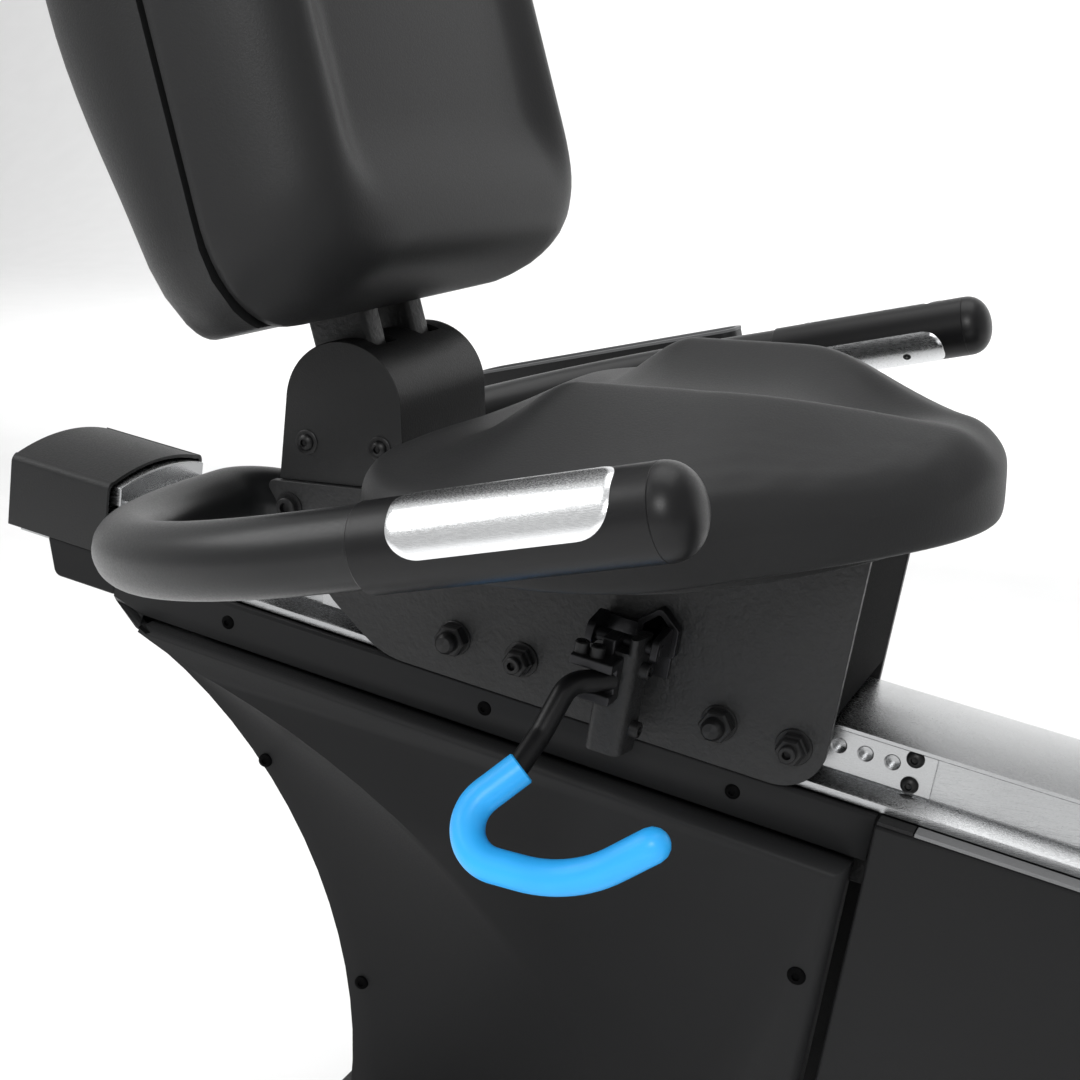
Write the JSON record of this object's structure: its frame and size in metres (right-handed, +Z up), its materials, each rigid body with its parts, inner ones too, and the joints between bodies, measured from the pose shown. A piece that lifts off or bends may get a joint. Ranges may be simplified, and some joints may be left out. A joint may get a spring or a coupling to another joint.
{
  "type": "recumbent exercise bike",
  "caption": "Recumbent exercise bike: padded seat on a sliding rail carriage with release lever, side hand grips, reclining back, pedals and belt drive in a shroud, console.",
  "frame": {"origin": "on the floor, under the middle of the bike's length and width", "axes": "+X towards the pedals and console (the front), +Y to the rider's left, +Z up"},
  "size_m": [1.63, 0.724, 1.2264],
  "materials": {
    "black_paint": "fine orange-peel powder coat",
    "dark_steel": "satin black zinc",
    "bright_steel": "fine brushed",
    "aluminium": "bright anodised",
    "shroud": "fine-grained moulding",
    "shell": "fine-grained moulding",
    "cushion": "matt upholstery vinyl",
    "rubber": "matt",
    "grip": "satin gloss",
    "blue_vinyl": "smooth dipped vinyl",
    "screen": "dark gloss, off",
    "key": "satin"
  },
  "bodies": {
    "frame": {"main_frame": "black_paint", "rear_stabilizer": "black_paint", "front_stabilizer": "black_paint", "levelling_foot_rear_right": "rubber", "levelling_foot_rear_left": "rubber", "levelling_foot_front_right": "rubber", "levelling_foot_front_left": "rubber", "seat_rail": "aluminium", "index_plate": "bright_steel", "rail_end_cap": "shroud", "rail_end_bracket": "shroud", "rear_shroud_right": "shroud", "rear_shroud_left": "shroud", "front_shroud_right": "shroud", "front_shroud_left": "shroud", "drive_belt": "rubber", "generator_stator": "aluminium", "console_mast": "black_paint", "front_handlebar": "black_paint", "front_grip_right": "rubber", "front_grip_left": "rubber", "console_housing": "shroud", "console_screen": "screen"},
    "carriage": {"carriage_plate_right": "black_paint", "carriage_plate_left": "black_paint", "carriage_front_cover": "shroud", "seat_pan": "black_paint", "seat_cushion": "cushion", "pivot_cover": "shell", "backrest_bracket": "dark_steel", "seat_handlebar_right": "black_paint", "seat_handlebar_left": "black_paint", "grip_right": "grip", "grip_left": "grip", "grip_sensor_right": "bright_steel", "grip_sensor_left": "bright_steel", "side_tray": "shell", "lever_bracket": "dark_steel"},
    "backrest": {"backrest_uprights": "black_paint", "backrest_shell": "shell", "backrest_cushion": "cushion"},
    "lever": {"lever_block": "dark_steel", "lever_rod": "black_paint", "lever_grip": "blue_vinyl"},
    "pin": {"locking_pin": "bright_steel"},
    "roller_rear_r": {"roller_rear_right": "rubber"},
    "roller_rear_l": {"roller_rear_left": "rubber"},
    "roller_front_r": {"roller_front_right": "rubber"},
    "roller_front_l": {"roller_front_left": "rubber"},
    "crank": {"crank_axle": "dark_steel", "crank_arm_right": "black_paint", "crank_arm_left": "black_paint"},
    "pedal_r": {"pedal_right": "rubber"},
    "pedal_l": {"pedal_left": "rubber"},
    "rotor": {"generator_rotor": "dark_steel"},
    "wheel_r": {"transport_wheel_right": "rubber"},
    "wheel_l": {"transport_wheel_left": "rubber"},
    "key_down": {"console_key_down": "key"},
    "key_start": {"console_key_start": "key"},
    "key_up": {"console_key_up": "key"}
  },
  "joints": [
    {"name": "seat_slide", "type": "slide", "parent": "frame", "child": "carriage", "axis": [0.9865, 0, -0.1638], "range_m": [-0.0775, 0.155]},
    {"name": "backrest_recline", "type": "hinge", "parent": "carriage", "child": "backrest", "pos_m": [-0.5472, 0, 0.588], "axis": [0, 1, 0], "range_deg": [-12, 4]},
    {"name": "release_lever", "type": "hinge", "parent": "carriage", "child": "lever", "pos_m": [-0.34871, -0.082, 0.47497], "axis": [0.9865, 0, -0.1638], "range_deg": [-16, 6], "stiffness_Nm_per_rad": 30},
    {"name": "locking_pin_slide", "type": "slide", "parent": "carriage", "child": "pin", "axis": [0, 1, 0], "range_m": [-0.0116, 0.0045]},
    {"name": "roller_rear_r_turn", "type": "hinge", "parent": "carriage", "child": "roller_rear_r", "pos_m": [-0.47075, -0.045, 0.45429], "axis": [0, 1, 0], "range_deg": [-900, 540]},
    {"name": "roller_rear_l_turn", "type": "hinge", "parent": "carriage", "child": "roller_rear_l", "pos_m": [-0.47075, 0.045, 0.45429], "axis": [0, 1, 0], "range_deg": [-900, 540]},
    {"name": "roller_front_r_turn", "type": "hinge", "parent": "carriage", "child": "roller_front_r", "pos_m": [-0.30305, -0.045, 0.42643], "axis": [0, 1, 0], "range_deg": [-900, 540]},
    {"name": "roller_front_l_turn", "type": "hinge", "parent": "carriage", "child": "roller_front_l", "pos_m": [-0.30305, 0.045, 0.42643], "axis": [0, 1, 0], "range_deg": [-900, 540]},
    {"name": "crank_turn", "type": "hinge", "parent": "frame", "child": "crank", "pos_m": [0.4538, 0, 0.34], "axis": [0, 1, 0], "continuous": true},
    {"name": "pedal_turn_right", "type": "hinge", "parent": "crank", "child": "pedal_r", "pos_m": [0.61354, -0.17, 0.28186], "axis": [0, 1, 0], "continuous": true},
    {"name": "pedal_turn_left", "type": "hinge", "parent": "crank", "child": "pedal_l", "pos_m": [0.29405, 0.17, 0.39814], "axis": [0, 1, 0], "continuous": true},
    {"name": "generator_turn", "type": "hinge", "parent": "frame", "child": "rotor", "pos_m": [0.6838, 0, 0.29], "axis": [0, 1, 0], "continuous": true},
    {"name": "wheel_turn_right", "type": "hinge", "parent": "frame", "child": "wheel_r", "pos_m": [0.7558, -0.23, 0.046], "axis": [0, 1, 0], "continuous": true},
    {"name": "wheel_turn_left", "type": "hinge", "parent": "frame", "child": "wheel_l", "pos_m": [0.7558, 0.23, 0.046], "axis": [0, 1, 0], "continuous": true},
    {"name": "key_press_down", "type": "slide", "parent": "frame", "child": "key_down", "axis": [0.866, 0, -0.5], "range_m": [0, 0.0018], "stiffness_N_per_m": 800},
    {"name": "key_press_start", "type": "slide", "parent": "frame", "child": "key_start", "axis": [0.866, 0, -0.5], "range_m": [0, 0.0018], "stiffness_N_per_m": 800},
    {"name": "key_press_up", "type": "slide", "parent": "frame", "child": "key_up", "axis": [0.866, 0, -0.5], "range_m": [0, 0.0018], "stiffness_N_per_m": 800}
  ],
  "couplings": [
    {"joint": "roller_rear_r_turn", "follows": "seat_slide", "rad_per_m": -92.593},
    {"joint": "roller_rear_l_turn", "follows": "seat_slide", "rad_per_m": -92.593},
    {"joint": "roller_front_r_turn", "follows": "seat_slide", "rad_per_m": -92.593},
    {"joint": "roller_front_l_turn", "follows": "seat_slide", "rad_per_m": -92.593},
    {"joint": "locking_pin_slide", "follows": "release_lever", "m_per_rad": 0.0404},
    {"joint": "generator_turn", "follows": "crank_turn", "ratio": 4.6429}
  ]
}
